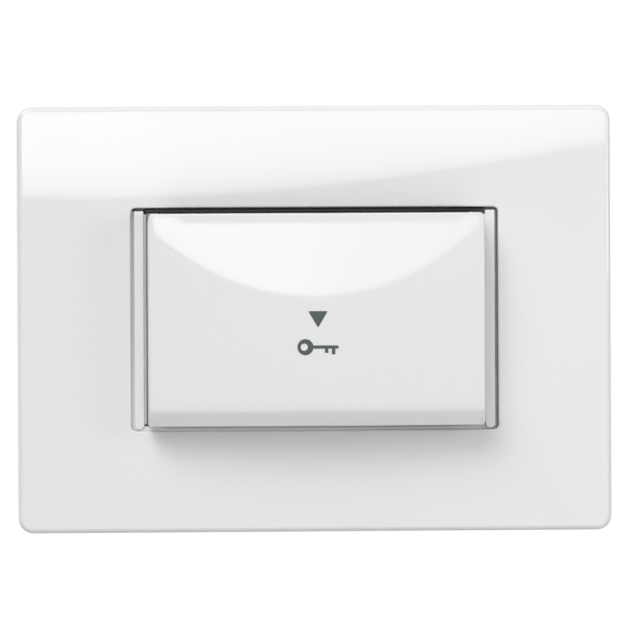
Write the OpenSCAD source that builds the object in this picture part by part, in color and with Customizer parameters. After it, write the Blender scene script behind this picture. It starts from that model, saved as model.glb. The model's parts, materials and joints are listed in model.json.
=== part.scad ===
// Wall switch with a card pocket, for a rectangular three-module wall box.
// A card dropped into the pocket pushes a sprung lever, and the lever works a
// changeover switch behind the wall.
// The front faces -Y, up is +Z, y = 0 is the wall surface, and the origin is
// the middle of the fixing pattern on that surface.  Millimetres.

/* [Cover plate] */
// Width of the cover plate
plate_w = 120; // [118:0.5:124]
// Height of the cover plate
plate_h = 86; // [84:0.5:92]
// How far the plate's front stands off the wall
plate_d = 9; // [8.8:0.1:9.2]
// Corner radius of the plate's outline
plate_r = 3; // [2:0.5:5]
// Rounding of the plate's front edges
plate_edge = 1; // [0.6:0.1:1.4]
// Wall thickness of the plate
plate_wall = 2.2; // [2:0.1:2.4]
// Width of the plate's opening
open_w = 74.3; // [74:0.1:75]
// Height of the plate's opening
open_h = 45; // [44.6:0.1:45.4]

/* [Card pocket] */
// Width of the pocket cover
pocket_w = 67.8; // [67.5:0.1:68.4]
// How far the pocket's front stands off the wall
pocket_d = 19; // [18:0.5:21]
// Height of the pocket's top edge above the middle
pocket_top = 21.35; // [20.8:0.05:21.6]
// Depth of the pocket's bottom edge below the middle
pocket_bottom = 21.5; // [21:0.1:21.8]
// Side-to-side crown radius of the pocket's front
crown_r = 300; // [250:10:500]
// Up-and-down crown radius of the pocket's front
crown_v = 500; // [400:50:900]
// Wall thickness of the pocket's front
pocket_wall = 2; // [1.6:0.1:2.2]
// Rounding of the pocket's top edge
top_round = 0.6; // [0.5:0.1:2.8]
// Height of the bevel along the pocket's bottom edge
bevel_h = 3.4; // [2.6:0.1:3.8]
// Depth of the bevel along the pocket's bottom edge
bevel_d = 2.4; // [1.6:0.1:2.8]

/* [Wall fixing] */
// Distance between the two fixing slots
fix_pitch = 83.5; // [83:0.1:84]
// Width of a fixing slot
fix_slot_w = 4.2; // [4:0.1:4.6]
// Length of a fixing slot
fix_slot_l = 8; // [6:0.5:9]

/* [Rear housing] */
// Width of the rear housing
house_w = 68; // [67:0.2:68.6]
// Height of the rear housing
house_h = 42; // [41.6:0.1:42.6]
// How far the housing reaches into the wall box
house_d = 24; // [24:0.5:30]
// Wall thickness of the housing
house_wall = 1.6; // [1.2:0.1:1.8]

/* [Lever] */
// Height of the lever's pivot
pivot_z = 7.75; // [7.5:0.05:8]
// Radius of the pivot pin
pin_r = 1; // [0.8:0.1:1.1]
// Outside radius of the lever's hub
hub_r = 2.2; // [2:0.1:2.3]
// Half width of the lever's nose
nose_hw = 3.2; // [2:0.1:3.6]

/* [Terminals] */
// Distance from one terminal to the next
term_pitch = 10.5; // [10.5:0.1:10.8]
// Radius of a wire bore
wire_r = 1.7; // [1.3:0.1:1.8]

/* [Hidden] */
$fn = 64;

// stack of the front pieces, from the wall outwards
frame_t = 3;                       // mounting frame
flange_y = -4.6;                   // front of the module frame's flange
guide_y = -(plate_d - 0.2);        // front of the card guide
guide_t = 1.8;
guide_hw = 31.3;
guide_lo = -18.2;
guide_hi = 22.25;
head_hw = 34.2;                    // the guide's head, over the pocket's sides
head_lo = 21.65;
rail_w = 1.9;
rail_x = 35.5;                     // middle of a rail
rail_lo = -22.15;
rail_hi = 21.85;
flange_h = 43.6;
screw_x = 26.2;                    // housing screws
screw_z = 12;
catch_x = 48;                      // plate catches
rib_y = -11.7;                     // inner face of the pocket's card ribs
floor_z = -18.4;                   // where the card stops
cy = crown_r - pocket_d;           // middle of the pocket's crown
// changeover switch
sw_hw = 13.9;
sw_y0 = 3.5;
sw_y1 = 19.4;
sw_z0 = -3.38;
sw_z1 = 5.7;
sw_wall = 1.2;
sw_zc = 1.75;                      // height of the contacts
plunger_x = -3;
eye_x = 10.5;
eye_y = 9;
tip_x = -9.5;                      // contacts
no_face = 12.75;
nc_face = 7.95;
sw_screws = [[5.5, 16], [-5.5, 16.5]];
tabs = [-term_pitch, 0, term_pitch];
shelf_z = -3.4;
bay_y = 12;

// ---- helpers --------------------------------------------------------------
// rounded rectangle about the origin
module rrect(w, h, r) {
    square([w, h - 2 * r], center = true);
    square([w - 2 * r, h], center = true);
    for (sx = [-1, 1], sy = [-1, 1])
        translate([sx * (w / 2 - r), sy * (h / 2 - r)]) circle(r);
}
// an (x, z) outline from y = a forward to y = b
module yext(a, b) {
    translate([0, a, 0]) rotate([90, 0, 0]) linear_extrude(a - b) children();
}
// a (y, z) outline from x = a to x = b
module xext(a, b) {
    translate([a, 0, 0]) rotate([90, 0, 90]) linear_extrude(b - a) children();
}
// an (x, y) outline from z = a to z = b
module zext(a, b) {
    translate([0, 0, a]) linear_extrude(b - a) children();
}
// block between two corners
module block(a, b) { translate(a) cube(b - a); }
module ycyl(r, a, b, x, z) {
    translate([x, a, z]) rotate([90, 0, 0]) cylinder(r = r, h = a - b);
}
module xcyl(r, a, b, y, z) {
    translate([a, y, z]) rotate([0, 90, 0]) cylinder(r = r, h = b - a);
}
module zcyl(r, a, b, x, y) { translate([x, y, a]) cylinder(r = r, h = b - a); }
// outline of a moulding's depth, with both front corners rounded
module front_profile(w, d, e) {
    translate([-w / 2, -d + e]) square([w, d - e]);
    translate([-w / 2 + e, -d]) square([w - 2 * e, d]);
    for (s = [-1, 1]) translate([s * (w / 2 - e), -d + e]) circle(e);
}

// round wire wound about Y from y0 to y1, its end turns closed and flat
function coil_y(t, y0, y1, turns, wire) =
    let (a = y0 + wire / 2, b = y1 - wire / 2, c = wire * 1.05,
         u = t * turns)
    u < 1 ? a + c * u
    : u > turns - 1 ? b - c * (turns - u)
    : a + c + (b - a - 2 * c) * (u - 1) / (turns - 2);
module coil(x, z, y0, y1, mean_r, wire, turns, per_turn = 20, sides = 8) {
    n = turns * per_turn;
    rings = [for (i = [0 : n]) let (
            w = 360 * i / per_turn, p = coil_y(i / n, y0, y1, turns, wire))
        [for (k = [0 : sides - 1]) let (q = 360 * k / sides,
                r = mean_r + wire / 2 * cos(q))
            [x + r * cos(w), p + wire / 2 * sin(q), z + r * sin(w)]]];
    pts = [for (r = rings) for (p = r) p];
    side = [for (i = [0 : n - 1], k = [0 : sides - 1])
        let (a = i * sides + k, b = i * sides + (k + 1) % sides)
        [a, b, b + sides, a + sides]];
    polyhedron(pts, concat(side,
        [[for (k = [sides - 1 : -1 : 0]) k]],
        [[for (k = [0 : sides - 1]) n * sides + k]]), convexity = 6);
}

// ---- front pieces ---------------------------------------------------------
module plate_catch(sx, sz) {
    mirror([0, 0, sz < 0 ? 1 : 0])
        xext(sx * catch_x - 3, sx * catch_x + 3)
            polygon([[-plate_d + 1, 31], [-plate_d + 1, 32.6], [-1.15, 32.6],
                     [-1.15, 33.3], [-0.4, 32.7], [-0.4, 31]]);
}

module cover_plate() color("white") {
    inner_y = -(plate_d - plate_wall);
    difference() {
        union() {
            difference() {
                intersection() {
                    yext(0, -plate_d) rrect(plate_w, plate_h, plate_r);
                    zext(-plate_h / 2, plate_h / 2)
                        front_profile(plate_w, plate_d, plate_edge);
                    xext(-plate_w / 2, plate_w / 2)
                        rotate(-90) mirror([0, 1]) rotate(180)
                            mirror([1, 0]) front_profile(plate_h, plate_d, plate_edge);
                }
                yext(1, inner_y) rrect(plate_w - 2 * plate_wall,
                    plate_h - 2 * plate_wall, max(plate_r - 1.5, 0.8));
            }
            // collar round the opening
            yext(-3.2, inner_y - 0.3) rrect(open_w + 3.2, open_h + 3.2, 1.8);
        }
        yext(1, -plate_d - 1) rrect(open_w, open_h, 1);
        // room for the heads of the fixing screws
        for (s = [-1, 1])
            ycyl(4.6, 0, -5.6, s * fix_pitch / 2, 0);
    }
    for (sx = [-1, 1], sz = [-1, 1]) plate_catch(sx, sz);
}

module mounting_frame() color("gainsboro")
    difference() {
        union() {
            yext(0, -frame_t) rrect(110, 77, 4);
            difference() {
                yext(-frame_t + 0.2, -frame_t - 1.4) rrect(110, 77, 4);
                yext(0, -frame_t - 2) rrect(106.8, 73.8, 2.4);
            }
        }
        // window for the switch
        yext(1, -6) rrect(69.2, 43.4, 0.5);
        // slots for the box screws
        for (s = [-1, 1])
            yext(1, -6) translate([s * fix_pitch / 2, 0])
                rrect(fix_slot_l, fix_slot_w, fix_slot_w / 2 - 0.0001);
        // windows for the plate's catches, with a ledge inside
        for (sx = [-1, 1], sz = [-1, 1]) {
            yext(1, -6) translate([sx * catch_x, sz * 31.65])
                square([6.8, 2.5], center = true);
            yext(1, -1.2) translate([sx * catch_x, sz * 32.3])
                square([6.8, 3.8], center = true);
        }
    }

module module_frame() color("whitesmoke")
    difference() {
        union() {
            yext(-frame_t, flange_y) rrect(2 * rail_x + rail_w, flange_h, 0.7);
            for (s = [-1, 1])
                yext(-frame_t, -plate_d + 0.3)
                    translate([s * rail_x, (rail_hi + rail_lo) / 2]) {
                        rrect(rail_w, rail_hi - rail_lo, 0.85);
                        translate([0, (rail_hi - rail_lo) / 2 - 2])
                            rrect(rail_w, 4, 0.3);
                    }
            // ledges beside the rails, inside the plate's opening
            for (e = [[-open_w / 2, 1.6], [rail_x - rail_w / 2, 3.5]])
                yext(-frame_t - 0.2, -plate_d + e[1])
                    intersection() {
                        rrect(open_w - 0.2, open_h - 0.2, 0.9);
                        translate([e[0], -open_h / 2])
                            square([open_w / 2 - rail_x + rail_w / 2, open_h]);
                    }
            // steps between the rails and the pocket
            for (s = [-1, 1])
                mirror([s < 0 ? 1 : 0, 0, 0])
                    block([pocket_w / 2 + 0.15, -plate_d + (s < 0 ? 1.1 : 0.4), rail_lo + 1],
                          [rail_x, -frame_t - 0.2, rail_hi - 0.6]);
            // sill under the pocket
            block([-rail_x, -plate_d + 0.6, -open_h / 2 + 0.1],
                  [rail_x, -frame_t - 0.2, -pocket_bottom - 0.15]);
        }
        yext(0, -6) rrect(44, 30, 1);
        for (sx = [-1, 1], sz = [-1, 1]) {
            ycyl(1.5, 0, -6, sx * screw_x, sz * screw_z);
            yext(0, -6) translate([sx * 32.75, sz * screw_z])
                square([1.7, 4.6], center = true);
        }
    }

module card_guide() color("#2b2c2e")
    difference() {
        union() {
            // face that the card slides down, with a lead-in along its top
            xext(-guide_hw, guide_hw)
                polygon([[guide_y + guide_t, guide_lo], [guide_y, guide_lo],
                         [guide_y, guide_hi - 0.5], [guide_y + 0.4, guide_hi],
                         [guide_y + guide_t, guide_hi]]);
            // head that closes the gap above the pocket's sides
            xext(-head_hw, head_hw)
                polygon([[flange_y - 0.05, head_lo], [guide_y, head_lo],
                         [guide_y, guide_hi - 0.5], [guide_y + 0.4, guide_hi],
                         [flange_y - 0.05, guide_hi]]);
            // rim that stands on the module frame
            difference() {
                block([-guide_hw, guide_y + guide_t - 0.2, guide_lo],
                      [guide_hw, flange_y - 0.05, guide_hi]);
                block([-guide_hw + 1.5, guide_y, guide_lo + 1.5],
                      [guide_hw - 1.5, 0, guide_hi - 1.5]);
            }
            // fences beside the card
            for (s = [-1, 1])
                xext(s * 28.45 - 0.75, s * 28.45 + 0.75)
                    polygon([[guide_y + 0.2, guide_lo], [-13.5, guide_lo],
                             [-13.5, 16], [guide_y + 0.2, 20]]);
            // stop for the lever's foot
            block([-7, guide_y + guide_t - 0.2, -14.6], [7, flange_y, -12.8]);
            // pivot lugs
            for (s = [-1, 1])
                xext(s * 7 - 1, s * 7 + 1) {
                    translate([0, pivot_z]) circle(2.45);
                    translate([guide_y + guide_t - 0.2, pivot_z - 2.45])
                        square([-guide_y - guide_t + 0.2, 4.9]);
                }
        }
        block([-4.3, guide_y - 1, -12.2], [4.3, guide_y + guide_t + 0.2, 1]);
        xcyl(pin_r + 0.02, -12, 12, 0, pivot_z);
    }

// section of the pocket's outside, r from the crown's middle and z
module pocket_section() {
    sag = crown_v - sqrt(crown_v * crown_v - pocket_top * pocket_top);
    k = bevel_h / bevel_d;
    difference() {
        intersection() {
            translate([crown_r - crown_v, 0]) circle(crown_v, $fn = 1440);
            translate([crown_r - 16, -pocket_bottom])
                square([17, pocket_top + pocket_bottom]);
        }
        polygon([[crown_r - bevel_d - 1, -pocket_bottom - k],
                 [crown_r + 1, -pocket_bottom + bevel_h + k],
                 [crown_r + 1, -pocket_bottom - k]]);
        translate([crown_r - sag - top_round, pocket_top - top_round])
            difference() {
                square(top_round + 1);
                circle(top_round);
            }
    }
}
module pocket_hollow()
    intersection() {
        translate([crown_r - crown_v, 0]) circle(crown_v - pocket_wall, $fn = 1440);
        translate([crown_r - 16, floor_z]) square([17, 48]);
    }

module pocket_cover() color("white") {
    hw = pocket_w / 2;
    difference() {
        intersection() {
            translate([0, cy, 0]) rotate_extrude($fn = 1440) pocket_section();
            block([-hw, -pocket_d - 1, -30], [hw, flange_y - 0.05, 30]);
        }
        // room for the card
        intersection() {
            translate([0, cy, 0]) rotate_extrude($fn = 1440) pocket_hollow();
            block([-30.2, -pocket_d - 1, -30], [30.2, guide_y + 0.2, 40]);
        }
        // room for the card guide, with a step that holds it
        block([-31.5, guide_y - 0.05, floor_z], [31.5, 0, 40]);
    }
    // ribs that keep the card near the lever
    for (s = [-1, 1])
        xext(s * 8 - 0.6, s * 8 + 0.6)
            polygon([[-pocket_d + 1.4, floor_z - 0.2], [rib_y, floor_z - 0.2],
                     [rib_y, 9], [-pocket_d + 1.4, 17]]);
    // hooks
    for (sx = [-1, 1], sz = [-1, 1])
        mirror([sx < 0 ? 1 : 0, 0, 0])
            zext(sz * screw_z - 2, sz * screw_z + 2)
                polygon([[32.1, -5.2], [33.3, -5.2], [33.3, -2.95],
                         [34.0, -2.95], [33.4, -2.1], [32.1, -2.1]]);
}

// ---- rear housing ---------------------------------------------------------
module rear_housing() color("#e9e9e6") {
    hw = house_w / 2;
    hh = house_h / 2;
    front = -frame_t + 0.02;
    bay_hw = term_pitch + 5.7;
    difference() {
        union() {
            difference() {
                yext(house_d, front) rrect(house_w, house_h, 1.5);
                yext(house_d - house_wall, front - 1)
                    rrect(house_w - 2 * house_wall, house_h - 2 * house_wall, 0.8);
            }
            // block that holds the terminals, and the shelf under the switch
            block([-bay_hw, bay_y - 1.6, -hh], [bay_hw, house_d, shelf_z]);
            block([-bay_hw, 4.5, shelf_z - 1.6], [bay_hw, bay_y, shelf_z]);
            // screw pillars
            for (sx = [-1, 1], sz = [-1, 1]) {
                ycyl(2.6, 13, front, sx * screw_x, sz * screw_z);
                mirror([sx < 0 ? 1 : 0, 0, 0])
                    block([screw_x, front + 2.6, sz * screw_z - 0.7],
                          [hw - 0.5, 13, sz * screw_z + 0.7]);
            }
            // teeth that snap behind the mounting frame
            for (sx = [-1, 1], sz = [-1, 1])
                mirror([0, 0, sz < 0 ? 1 : 0])
                    xext(sx * 16 - 4, sx * 16 + 4)
                        polygon([[0.05, hh - 0.4], [0.05, hh + 1.2],
                                 [0.6, hh + 1.2], [3.2, hh], [3.2, hh - 0.4]]);
            // seat of the lever's spring
            ycyl(1.6, bay_y, bay_y - 3.4, 0, -9);
        }
        for (x = tabs) {
            block([x - 4.1, bay_y, -hh - 1], [x + 4.1, house_d + 1, shelf_z - 1.6]);
            block([x - 1.8, 20, shelf_z - 2], [x + 1.8, 21.2, shelf_z + 1]);
        }
        for (p = sw_screws) zcyl(1.05, shelf_z - 2, shelf_z + 1, p[0], p[1]);
        for (sx = [-1, 1], sz = [-1, 1]) {
            ycyl(1.05, 11, front - 1, sx * screw_x, sz * screw_z);
            translate([sx * 33, -3, sz * screw_z]) cube([5, 2.8, 5.2], center = true);
        }
    }
}

module housing_screws() color("silver")
    for (sx = [-1, 1], sz = [-1, 1])
        translate([sx * screw_x, flange_y, sz * screw_z])
            difference() {
                union() {
                    ycyl(1, 13.6, -0.4, 0, 0);
                    translate([0, -0.02, 0]) rotate([90, 0, 0])
                        rotate_extrude() polygon([[0, 0], [2.4, 0], [2.4, 0.7],
                                                  [1.7, 1.58], [0, 1.58]]);
                }
                block([-1.3, -2, -0.25], [1.3, -0.8, 0.25]);
                block([-0.25, -2, -1.3], [0.25, -0.8, 1.3]);
            }

// ---- lever ----------------------------------------------------------------
module card_lever() color("#f2f2ee")
    difference() {
        union() {
            xcyl(hub_r, -5.6, 5.6, 0, pivot_z);
            xext(-4, 4)
                polygon([[-4.1, -14.6], [-1.8, -14.6], [-1.8, 3.4], [0.9, 5.9],
                         [0, 9.7], [-2.2, 9.4], [-4.1, 6.5]]);
            // foot that rests on the guide's stop
            block([-5.5, -4.5, -14.6], [5.5, -1.8, -12.8]);
            // nose that the card pushes back
            xext(-nose_hw, nose_hw)
                polygon([[-3.5, 0.9], [-12.5, -5.6], [-12.9, -6.6],
                         [-12.5, -7.6], [-3.5, -9.7]]);
            // pad that works the switch
            xcyl(1, plunger_x - 1.8, plunger_x + 1.8, -0.1, sw_zc);
            block([-4, -2, sw_zc - 0.85], [plunger_x + 1.8, -0.1, sw_zc + 0.85]);
            // boss inside the spring's end, with room to tilt
            ycyl(1.2, 0.2, -2, 0, -9);
        }
        xcyl(pin_r + 0.05, -12, 12, 0, pivot_z);
    }

module pivot_pin() color("silver") xcyl(pin_r, -8.6, 8.6, 0, pivot_z);

module lever_spring() color("silver")
    coil(0, -9, -1.77, bay_y - 1.63, 2.25, 0.5, 7);

// ---- changeover switch ----------------------------------------------------
module microswitch_base() color("#3c3f42")
    difference() {
        union() {
            difference() {
                block([-sw_hw, sw_y0, sw_z0], [sw_hw, sw_y1, sw_z1]);
                block([-sw_hw + sw_wall, sw_y0 + sw_wall, -2.2],
                      [sw_hw - sw_wall, sw_y1 - sw_wall, 20]);
            }
            for (p = sw_screws) zcyl(2, -2.4, sw_z1, p[0], p[1]);
            // seat of the blade's spring
            block([2.6, 12.6, -2.4], [6.4, 13.6, 4.5]);
            ycyl(0.7, 12.8, 11.3, 4.5, sw_zc);
        }
        ycyl(1.25, sw_y0 + 2, sw_y0 - 1, plunger_x, sw_zc);
        for (x = tabs) block([x - 1.6, sw_y1 - 2, -2.2], [x + 1.6, sw_y1 + 1, -1.35]);
        for (p = sw_screws) zcyl(1.05, -5, 8, p[0], p[1]);
    }

module microswitch_lid() color("#4a4d50")
    difference() {
        union() {
            block([-sw_hw, sw_y0, sw_z1 + 0.02], [sw_hw, sw_y1, sw_z1 + 1.2]);
            difference() {
                block([-12.6, sw_y0 + 1.3, sw_z1 - 0.8], [12.6, sw_y1 - 1.3, sw_z1 + 0.4]);
                block([-11.8, sw_y0 + 2.1, sw_z1 - 1], [11.8, sw_y1 - 2.1, sw_z1 + 0.02]);
                for (p = sw_screws) zcyl(2.2, sw_z1 - 1, sw_z1 + 0.02, p[0], p[1]);
            }
        }
        for (p = sw_screws) zcyl(1.05, -5, 12, p[0], p[1]);
    }

module switch_plunger() color("firebrick") {
    ycyl(1.2, 5, 0.95, plunger_x, sw_zc);
    ycyl(1.9, 5.5, sw_y0 + sw_wall + 0.05, plunger_x, sw_zc);
    ycyl(0.8, 7.95, 5.2, plunger_x, sw_zc);
    translate([plunger_x, 7.95, sw_zc]) sphere(0.8);
}

module contact_blade() color("#c98b4a")
    difference() {
        union() {
            block([-10.7, eye_y - 0.2, sw_zc - 1.6], [eye_x - 1.2, eye_y + 0.2, sw_zc + 1.6]);
            zcyl(1.4, sw_zc - 1.6, sw_zc + 1.6, eye_x, eye_y);
        }
        zcyl(0.87, -5, 8, eye_x, eye_y);
        ycyl(0.72, 10, 8, tip_x, sw_zc);
    }

// rivet with a head at each end, along Y
module rivet(x, head_a, plate_a, plate_b, head_b, ra, rb) {
    ycyl(0.7, plate_b + 0.2, plate_a - 0.2, x, sw_zc);
    ycyl(ra, plate_a - 0.02, head_a, x, sw_zc);
    ycyl(rb, head_b, plate_b + 0.02, x, sw_zc);
}
module moving_contact() color("lightgray")
    rivet(tip_x, 8, eye_y - 0.2, eye_y + 0.2, 10, 1.3, 1.3);

module blade_spring() color("silver")
    coil(4.5, sw_zc, eye_y + 0.23, 12.57, 1.3, 0.35, 5);

module common_terminal() color("#c9a24a") {
    block([eye_x - 1.5, 7.4, -2.18], [eye_x + 1.5, 20.2, -1.4]);
    zcyl(1.4, -1.6, sw_zc - 1.65, eye_x, eye_y);
    zcyl(0.8, -1.6, 4.6, eye_x, eye_y);
}

module open_terminal() color("#c9a24a")
    difference() {
        union() {
            block([-1.5, 13.4, -2.18], [1.5, 20.2, -1.4]);
            block([-1.5, 13.4, -2.18], [1.5, 14.2, 3.4]);
            block([-11, 13.4, 0.2], [1.5, 14.2, 3.4]);
        }
        ycyl(0.72, 15, 13, tip_x, sw_zc);
    }

module closed_terminal() color("#c9a24a")
    difference() {
        union() {
            block([-term_pitch - 1.5, 6.2, -2.18], [-term_pitch + 1.5, 20.2, -1.4]);
            block([-term_pitch - 1.5, 6.2, -2.18], [-8, 7, 3.4]);
        }
        ycyl(0.72, 8, 6, tip_x, sw_zc);
    }

module fixed_contacts() color("lightgray") {
    rivet(tip_x, 5.6, 6.2, 7, nc_face, 1.1, 1.3);
    rivet(tip_x, no_face, 13.4, 14.2, 14.8, 1.3, 1.1);
}

module microswitch_screws() color("silver")
    for (p = sw_screws)
        difference() {
            union() {
                zcyl(1, -5, sw_z1 + 2, p[0], p[1]);
                zcyl(1.9, sw_z1 + 1.22, sw_z1 + 2.4, p[0], p[1]);
            }
            translate([p[0], p[1], sw_z1 + 2.4]) cube([5, 0.5, 1.2], center = true);
        }

// ---- terminals ------------------------------------------------------------
module terminal_blocks() color("#c8a552")
    for (x = tabs)
        difference() {
            block([x - 4, bay_y + 0.05, -18], [x + 4, 21, -10]);
            ycyl(wire_r, 22, 13, x, -13.2);
            zcyl(1.55, -19, -13.2, x, 16.5);
            block([x - 1.6, 20.15, -10.9], [x + 1.6, 22, -9]);
        }

module terminal_screws() color("silver")
    for (x = tabs)
        difference() {
            union() {
                zcyl(1.5, -18.8, -15, x, 16.5);
                zcyl(2.6, -20.6, -18.6, x, 16.5);
            }
            translate([x, 16.5, -20.6]) cube([0.8, 8, 2.2], center = true);
        }

module terminal_links() color("#c07a45")
    for (x = tabs)
        block([x - 1.5, 20.22, -10.85], [x + 1.5, 21, -0.6]);

cover_plate();
mounting_frame();
module_frame();
card_guide();
pocket_cover();
rear_housing();
housing_screws();
card_lever();
pivot_pin();
lever_spring();
microswitch_base();
microswitch_lid();
switch_plunger();
contact_blade();
moving_contact();
blade_spring();
common_terminal();
open_terminal();
closed_terminal();
fixed_contacts();
microswitch_screws();
terminal_blocks();
terminal_screws();
terminal_links();
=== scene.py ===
import json
import math

import bmesh
import bpy
import numpy as np
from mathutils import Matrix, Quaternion, Vector
from mathutils.geometry import delaunay_2d_cdt


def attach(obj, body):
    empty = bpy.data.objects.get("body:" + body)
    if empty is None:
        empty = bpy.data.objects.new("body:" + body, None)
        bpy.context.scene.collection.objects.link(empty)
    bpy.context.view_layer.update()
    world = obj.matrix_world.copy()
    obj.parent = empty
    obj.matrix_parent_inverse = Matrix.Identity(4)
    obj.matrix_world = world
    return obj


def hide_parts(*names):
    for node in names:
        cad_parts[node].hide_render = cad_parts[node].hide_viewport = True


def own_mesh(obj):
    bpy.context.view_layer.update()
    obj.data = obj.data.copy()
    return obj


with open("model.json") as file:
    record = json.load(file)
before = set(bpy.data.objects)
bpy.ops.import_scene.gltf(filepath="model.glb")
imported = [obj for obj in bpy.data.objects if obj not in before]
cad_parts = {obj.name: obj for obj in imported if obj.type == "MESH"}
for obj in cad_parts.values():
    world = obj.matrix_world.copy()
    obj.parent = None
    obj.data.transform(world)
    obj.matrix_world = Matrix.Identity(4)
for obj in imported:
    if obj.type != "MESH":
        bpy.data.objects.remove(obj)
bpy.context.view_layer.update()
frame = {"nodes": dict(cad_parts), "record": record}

MM = 0.001
scene = bpy.context.scene
nodes = frame["nodes"]
record = frame["record"]
SLOT = {s["node"]: s["material_slot"] for s in record["subparts"]}
BODY = {n: b for b, ns in record["behaviour"]["bodies"].items() for n in ns}


# ---------------------------------------------------------------------------
# mesh helpers, all lengths in millimetres
# ---------------------------------------------------------------------------
def soften(me, angle):
    """Smooth shading, with edges over that many degrees kept sharp."""
    me.polygons.foreach_set("use_smooth", [True] * len(me.polygons))
    me.set_sharp_from_angle(angle=math.radians(angle))
    me.update()


def face_out(bm):
    bmesh.ops.recalc_face_normals(bm, faces=bm.faces)
    if bm.calc_volume(signed=True) < 0:
        bmesh.ops.reverse_faces(bm, faces=bm.faces)


def link_mesh(name, bm, angle):
    face_out(bm)
    me = bpy.data.meshes.new(name)
    bm.to_mesh(me)
    bm.free()
    soften(me, angle)
    ob = bpy.data.objects.new(name, me)
    scene.collection.objects.link(ob)
    return ob


def mesh_object(name, verts, faces, angle=32.0):
    me = bpy.data.meshes.new(name)
    me.from_pydata((np.asarray(verts, float) * MM).tolist(), [], faces)
    bm = bmesh.new()
    bm.from_mesh(me)
    bpy.data.meshes.remove(me)
    return link_mesh(name, bm, angle)


def boolean(ob, cutters, operation, angle=32.0):
    """Joins or cuts with other objects, which are then removed."""
    for c in cutters:
        m = ob.modifiers.new("b", "BOOLEAN")
        m.operation, m.solver, m.object = operation, "EXACT", c
        bpy.context.view_layer.update()
        me = bpy.data.meshes.new_from_object(
            ob.evaluated_get(bpy.context.evaluated_depsgraph_get())
        )
        ob.modifiers.clear()
        old, ob.data = ob.data, me
        bpy.data.meshes.remove(old)
    for c in cutters:
        me = c.data
        bpy.data.objects.remove(c)
        bpy.data.meshes.remove(me)
    soften(ob.data, angle)
    return ob


def even(ob):
    """Normals weighted by area, so that flat faces stay flat up to their rounded edges."""
    m = ob.modifiers.new("w", "WEIGHTED_NORMAL")
    m.mode, m.weight, m.keep_sharp = "FACE_AREA", 100, True
    bpy.context.view_layer.update()
    me = bpy.data.meshes.new_from_object(
        ob.evaluated_get(bpy.context.evaluated_depsgraph_get())
    )
    ob.modifiers.clear()
    old, ob.data = ob.data, me
    bpy.data.meshes.remove(old)
    return ob


def smooth(t):
    t = np.clip(t, 0.0, 1.0)
    return t * t * (3 - 2 * t)


def ring(w, h, r, y, nc=9, nl=56, ns=40):
    """A loop round a rounded rectangle in x and z, with the same count at every size."""
    hx, hz = w / 2 - r, h / 2 - r
    corner = [(hx, -hz, -90), (hx, hz, 0), (-hx, hz, 90), (-hx, -hz, 180)]
    pts = []
    for k, (cx, cz, a0) in enumerate(corner):
        for i in range(nc + 1):
            a = math.radians(a0 + 90 * i / nc)
            pts.append((cx + r * math.cos(a), y, cz + r * math.sin(a)))
        ox, oz, b0 = corner[(k + 1) % 4]
        b = math.radians(b0)
        s, e = pts[-1], (ox + r * math.cos(b), y, oz + r * math.sin(b))
        n = ns if k % 2 == 0 else nl
        for i in range(1, n):
            t = i / n
            pts.append((s[0] + (e[0] - s[0]) * t, y, s[2] + (e[2] - s[2]) * t))
    return pts


def loft(rings, closed=False, caps=False):
    n, m = len(rings[0]), len(rings)
    verts = [p for r in rings for p in r]
    faces = []
    for i in range(m if closed else m - 1):
        a, b = i * n, ((i + 1) % m) * n
        for j in range(n):
            k = (j + 1) % n
            faces.append((a + j, a + k, b + k, b + j))
    if caps:
        faces.append(tuple(range(n - 1, -1, -1)))
        faces.append(tuple((m - 1) * n + j for j in range(n)))
    return verts, faces


def inset(loop, d):
    """Moves every side of a plane outline inwards by d."""
    n = len(loop)
    area = sum(
        loop[i][0] * loop[(i + 1) % n][1] - loop[(i + 1) % n][0] * loop[i][1]
        for i in range(n)
    )
    s = 1 if area > 0 else -1
    out = []
    for i in range(n):
        p, q, r = (np.array(loop[(i + k) % n], float) for k in (-1, 0, 1))
        a, b = (q - p) / np.linalg.norm(q - p), (r - q) / np.linalg.norm(r - q)
        na, nb = np.array([-a[1], a[0]]) * s, np.array([-b[1], b[0]]) * s
        m = na + nb
        m = m / max(np.dot(m, m), 1e-9) * 2
        out.append(tuple(q + m * d))
    return out


def rounded(loop, radius, n=5):
    """Rounds the corners of a plane outline; radius is one number or one per corner."""
    out = []
    c = len(loop)
    for i in range(c):
        r = radius[i] if hasattr(radius, "__len__") else radius
        p, q, s = (np.array(loop[(i + k) % c], float) for k in (-1, 0, 1))
        if r <= 0:
            out.append(tuple(q))
            continue
        a, b = (p - q) / np.linalg.norm(p - q), (s - q) / np.linalg.norm(s - q)
        half = math.acos(max(-1, min(1, float(a @ b)))) / 2
        reach = r / math.tan(half)
        mid = q + (a + b) / np.linalg.norm(a + b) * (r / math.sin(half))
        u, v = q + a * reach - mid, q + b * reach - mid
        a0, a1 = math.atan2(u[1], u[0]), math.atan2(v[1], v[0])
        while a1 - a0 > math.pi:
            a1 -= 2 * math.pi
        while a1 - a0 < -math.pi:
            a1 += 2 * math.pi
        for k in range(n + 1):
            t = a0 + (a1 - a0) * k / n
            out.append((mid[0] + r * math.cos(t), mid[1] + r * math.sin(t)))
    return out


AXES = {
    "x": lambda p, t: (t, p[0], p[1]),
    "y": lambda p, t: (p[0], t, p[1]),
    "z": lambda p, t: (p[0], p[1], t),
}


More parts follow.
